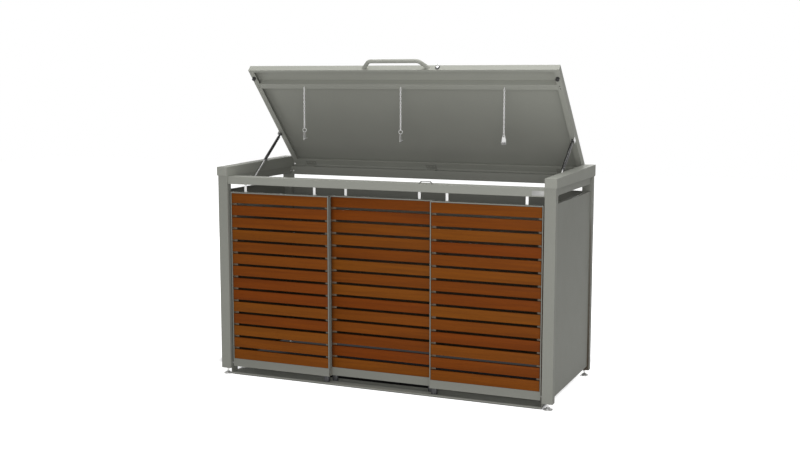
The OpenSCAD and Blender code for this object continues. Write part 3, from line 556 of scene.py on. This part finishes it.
def makeHandle():
    # half the path is a straight grip, an arc and a straight leg, and the other half its mirror;
    # it is drawn on the closed lid, whose front is at its lowest Y, then opened with it
    lidFront = closeLid(nodePoints("lid_pan"))[:, 1].min()
    solid = closeLid(nodePoints("lid_handle"))
    gripY = solid[:, 1].min() + handle["radius"]
    gripZ = (solid[:, 2].min() + solid[:, 2].max()) / 2
    half, steps = handle["grip"] / 2, handle["straightSteps"]
    turn = np.linspace(0, handle["legAngle"], handle["bendSteps"])
    bendX = half + handle["bend"] * np.sin(turn)
    bendY = handle["bend"] * (1 - np.cos(turn))
    legRun = (lidFront - gripY - bendY[-1]) / math.sin(handle["legAngle"])
    legSteps = np.linspace(handle["legShare"], 1, steps) * legRun
    legX = bendX[-1] + legSteps * math.cos(handle["legAngle"])
    legY = bendY[-1] + legSteps * math.sin(handle["legAngle"])
    gripX = np.linspace(handle["gripStart"], half * handle["gripShare"], steps)
    rightX = np.concatenate([gripX, bendX, legX])
    rightY = np.concatenate([np.zeros(steps), bendY, legY])
    x = np.concatenate([-rightX[::-1], rightX])
    y = np.concatenate([rightY[::-1], rightY])
    centres = np.stack([x, gripY + y, np.full_like(x, gripZ)], axis=-1)
    rings = sweepTube(centres, handle["radius"], (0, 0, 1))
    # the end rings lie flat on the lid's front, slid along the leg
    slope = 1 / math.tan(handle["legAngle"])
    for end, direction in ((0, -1), (-1, 1)):
        over = lidFront - rings[end][:, 1]
        rings[end][:, 0] += direction * over * slope
        rings[end][:, 1] = lidFront
    makePiece("handleTube", [openLid(rings)], coatedLid, "lid",
              smoothAngle=40.0, replaces=("lid_handle",))


makeHandle()
print("handle made")


# Gas struts

strut = {"tube": 0.009, "bore": 0.0043, "blind": 0.03, "mouthRound": 0.0012, "shoulderRound": 0.0024,
         "arcMiddle": 0.3, "crimp": 0.0009, "crimpAt": 0.014, "crimpLength": 0.004, "crimpSteps": 7,
         "neck": 0.005, "neckLength": 0.024, "neckStep": 0.001,
         "eye": 0.008, "eyeHalf": 0.007, "chamfer": 0.001}


def makeStrutTube(side):
    # the profile runs out of the blind bore round the mouth, over a crimp shaped as half a sine
    # and round the shoulder to the neck, and the eye is a chamfered barrel across the end
    turn, stroke = jointByName[f"strut_{side}_turn"], jointByName[f"strut_{side}_stroke"]
    foot, axis = np.array(turn["pos_m"], float), np.array(stroke["axis"], float)
    spots = (nodePoints(f"strut_cylinder_{side}") - foot) @ axis
    mouth, top = float(spots.min()), float(spots.max()) - strut["eye"]
    shoulder = top - strut["neckLength"]
    tube, bore, neck = strut["tube"], strut["bore"], strut["neck"]
    mouthRound, shoulderRound = strut["mouthRound"], strut["shoulderRound"]
    mouthMiddle, shoulderMiddle = mouthRound * strut["arcMiddle"], shoulderRound * strut["arcMiddle"]
    share = np.linspace(0, 1, strut["crimpSteps"])
    crimp = np.stack([mouth + strut["crimpAt"] + strut["crimpLength"] * share,
                      tube - strut["crimp"] * np.sin(math.pi * share)], axis=-1)
    profile = np.concatenate([
        [[shoulder - strut["blind"], bore], [mouth, bore], [mouth, tube - mouthRound],
         [mouth + mouthMiddle, tube - mouthMiddle], [mouth + mouthRound, tube]],
        crimp,
        [[shoulder - shoulderRound, tube], [shoulder - shoulderMiddle, tube - shoulderMiddle],
         [shoulder, tube - shoulderRound], [shoulder + strut["neckStep"], neck], [top, neck]]])
    half, eye, chamfer = strut["eyeHalf"], strut["eye"], strut["chamfer"]
    eyeProfile = [[-half, eye - chamfer], [-half + chamfer, eye],
                  [half - chamfer, eye], [half, eye - chamfer]]
    makePiece(f"strutTube{side.capitalize()}",
              [lathe(profile, foot, axis), lathe(eyeProfile, foot + axis * top, (1, 0, 0))],
              blackEnamel, f"cylinder_{side}",
              smoothAngle=35.0, replaces=(f"strut_cylinder_{side}",))


for side in ("left", "right"):
    makeStrutTube(side)
print("struts made")


# Small fixings

dome = {"rise": 1.25, "rings": 5, "aroundSteps": 14}


def screwHead(place, axis, radius, height):
    # a low dome: the radius falls as the cosine while the height rises as the sine
    rise = np.linspace(0, dome["rise"], dome["rings"])
    profile = np.stack([height * np.sin(rise) / math.sin(rise[-1]), radius * np.cos(rise)], axis=-1)
    return lathe(profile, place, axis, dome["aroundSteps"])


# where the leaves' open faces and the row of screws lie, measured from the pin
hingeScrews = {"radius": 0.0038, "height": 0.0011, "spread": (-0.022, 0.0, 0.022),
               "fixedFace": -0.0015, "lidFace": 0.0035, "ahead": 0.023, "halfLeaf": 0.034}


def makeHingeScrews():
    # three in each leaf of the three hinges, which are spread evenly about the middle
    size = hingeScrews["radius"], hingeScrews["height"]
    pitch = float(box("hinge_leaves_fixed")[1][0]) - hingeScrews["halfLeaf"]
    y = lidPin[1] - hingeScrews["ahead"]
    fixedFace, lidFace = lidPin[2] + hingeScrews["fixedFace"], lidPin[2] + hingeScrews["lidFace"]
    places = [hinge + offset for hinge in (-pitch, 0.0, pitch) for offset in hingeScrews["spread"]]
    fixedParts = [screwHead((x, y, fixedFace), (0, 0, 1), *size) for x in places]
    lidParts = [openLid(screwHead((x, y, lidFace), (0, 0, -1), *size)) for x in places]
    makePiece("hingeScrewsFixed", fixedParts, coatedSteel, "frame")
    makePiece("hingeScrewsLid", lidParts, coatedLid, "lid")


lipScrews = {"radius": 0.0032, "height": 0.0010, "beyond": 0.014, "spread": (-0.010, 0.010)}


def makeLipScrews():
    # two beyond each end of the stiffener, level with its underside
    stiffener = closeLid(nodePoints("lid_stiffener"))
    middle = float(stiffener[:, 1].min() + stiffener[:, 1].max()) / 2
    edge, level = float(stiffener[:, 0].max()), float(stiffener[:, 2].min())
    places = [(sign * (edge + lipScrews["beyond"]), middle + step, level)
              for sign in (-1, 1) for step in lipScrews["spread"]]
    parts = [openLid(screwHead(place, (0, 0, -1), lipScrews["radius"], lipScrews["height"]))
             for place in places]
    makePiece("lipScrews", parts, blackEnamel, "lid")


badge = {"inset": 0.006, "width": 0.065, "low": 0.0055, "height": 0.026, "thick": 0.0012, "round": 0.0005}


def makeBadge():
    # a blank plate near the right end of the front rail
    low, high = box("front_rail")
    right, bottom = high[0] - badge["inset"], low[2] + badge["low"]
    bar = roundedBar([right - badge["width"], low[1] - badge["thick"], bottom],
                     [right, low[1], bottom + badge["height"]], badge["round"])
    makePiece("blankPlate", [bar], plateSteel, "frame")


makeHingeScrews()
makeLipScrews()
makeBadge()
print("fixings made")


# Stage

stage = {"reach": 14.0, "glow": 0.9, "paper": 0.65, "shelterReach": 2.0, "shelterSplit": (0.08, 0.24),
         "shadowDepth": 0.97}

# the offsets from the back wall's edges at which each side of the painted shadow starts and is full
shadow = {"behind": (0.46, 0.2), "right": (0.01, -0.05), "left": (-0.06, 0.02), "front": (-0.73, -0.67),
          "asideLeft": (-0.3, -0.18), "asideFront": (-0.6, -0.45)}


def paintShadow(n):
    # the soft shadow under the store, behind it and to its left, away from the key lamp:
    # the product of its behind and right sides and the larger of its two fields at the left
    low, high = box("back_panel")
    split = n.add("ShaderNodeSeparateXYZ")
    n.link(n.coords(), split.inputs["Vector"])
    x, y = split.outputs["X"], split.outputs["Y"]
    edges = {"behind": (y, high[1]), "right": (x, high[0]), "left": (x, low[0]), "front": (y, low[1]),
             "asideLeft": (x, low[0]), "asideFront": (y, low[1])}
    side = {name: n.range(along, 0.0, 1.0, level + shadow[name][0], level + shadow[name][1], "SMOOTHSTEP")
            for name, (along, level) in edges.items()}
    under = n.maths("MULTIPLY", side["left"], side["front"])
    aside = n.maths("MULTIPLY", side["asideLeft"], side["asideFront"])
    back = n.maths("MULTIPLY", side["behind"], side["right"])
    return n.maths("MULTIPLY", back, n.maths("MAXIMUM", under, aside))


def makeStage():
    mesh = bpy.data.meshes.new("floor")
    reach = stage["reach"]
    mesh.from_pydata([(-reach, -reach, 0), (reach, -reach, 0), (reach, reach, 0), (-reach, reach, 0)],
                     [], [(0, 1, 2, 3)])
    floor = bpy.data.objects.new("floor", mesh)
    bpy.context.scene.collection.objects.link(floor)
    paper = bpy.data.materials.new("paleFloor")
    paper.use_nodes = True
    n = Nodes(paper.node_tree)
    n.tree.nodes.clear()
    # the paper's glow and colour are darkened by a painted shade where something stands close over it, and
    # in the painted shadow
    shelter = n.open(stage["shelterReach"], stage["shelterSplit"], samples=16, curve="SMOOTHSTEP")
    unshaded = n.maths("SUBTRACT", 1.0, n.maths("MULTIPLY", paintShadow(n), stage["shadowDepth"]))
    lit = n.maths("MULTIPLY", shelter, unshaded)
    diffuse = n.add("ShaderNodeBsdfDiffuse")
    n.link(n.maths("MULTIPLY", lit, stage["paper"]), diffuse.inputs["Color"])
    glow = n.add("ShaderNodeEmission")
    glow.inputs["Strength"].default_value = stage["glow"]
    n.link(lit, glow.inputs["Color"])
    both = n.add("ShaderNodeAddShader")
    n.link(diffuse.outputs[0], both.inputs[0])
    n.link(glow.outputs[0], both.inputs[1])
    surface = n.pick(n.seenDirectly(), diffuse.outputs[0], both.outputs[0])
    n.link(surface, n.add("ShaderNodeOutputMaterial").inputs["Surface"])
    mesh.materials.append(paper)


lighting = {"backdrop": 1.0, "sky": 0.42, "panels": {
    "key": {"place": (1.9, -6.2, 1.3), "target": (0, 0, 0.9), "size": 3.0, "power": 192.0},
    "top": {"place": (0.3, 0.0, 5.2), "target": (0, 0, 1.0), "size": 2.5, "power": 135.0},
    "back": {"place": (-2.2, 6.2, 2.2), "target": (0, 0, 0.8), "size": 3.5, "power": 170.0}}}


def makeLight():
    # the backdrop is what the camera sees behind the store, and the sky what lights the store
    world = bpy.data.worlds.new("studio")
    bpy.context.scene.world = world
    world.use_nodes = True
    n = Nodes(world.node_tree)
    n.tree.nodes.clear()
    shaders = {}
    for name in ("sky", "backdrop"):
        node = n.add("ShaderNodeBackground")
        node.inputs["Strength"].default_value = lighting[name]
        node.inputs["Color"].default_value = (1, 1, 1, 1)
        shaders[name] = node.outputs[0]
    surface = n.pick(n.seenDirectly(), shaders["sky"], shaders["backdrop"])
    n.link(surface, n.add("ShaderNodeOutputWorld").inputs["Surface"])
    for name, panel in lighting["panels"].items():
        addPanel(name, **panel)


def addPanel(name, place, target, size, power):
    lamp = bpy.data.lights.new(name, "AREA")
    lamp.shape = "SQUARE"
    lamp.size = size
    lamp.energy = power
    obj = bpy.data.objects.new(name, lamp)
    bpy.context.scene.collection.objects.link(obj)
    obj.location = place
    aim = mathutils.Vector(target) - mathutils.Vector(place)
    obj.rotation_euler = aim.to_track_quat("-Z", "Y").to_euler()


camera = {"right": 2.555, "front": 5.6586, "height": 1.7296, "yaw": 23.133, "pitch": 7.353,
          "lens": 51.777, "sensor": 36, "farthest": 100}


def makeCamera():
    # set out from the front faces of the posts
    postFront = box("post_front_left")[0][1]
    data = bpy.data.cameras.new("camera")
    data.sensor_width = camera["sensor"]
    data.lens = camera["lens"]
    data.clip_end = camera["farthest"]
    obj = bpy.data.objects.new("camera", data)
    obj.location = (camera["right"], postFront - camera["front"], camera["height"])
    obj.rotation_euler = (math.radians(90 - camera["pitch"]), 0, math.radians(camera["yaw"]))
    bpy.context.scene.collection.objects.link(obj)
    bpy.context.scene.camera = obj


makeStage()
makeLight()
makeCamera()
bpy.context.scene.view_settings.view_transform = "Standard"
print("stage set")
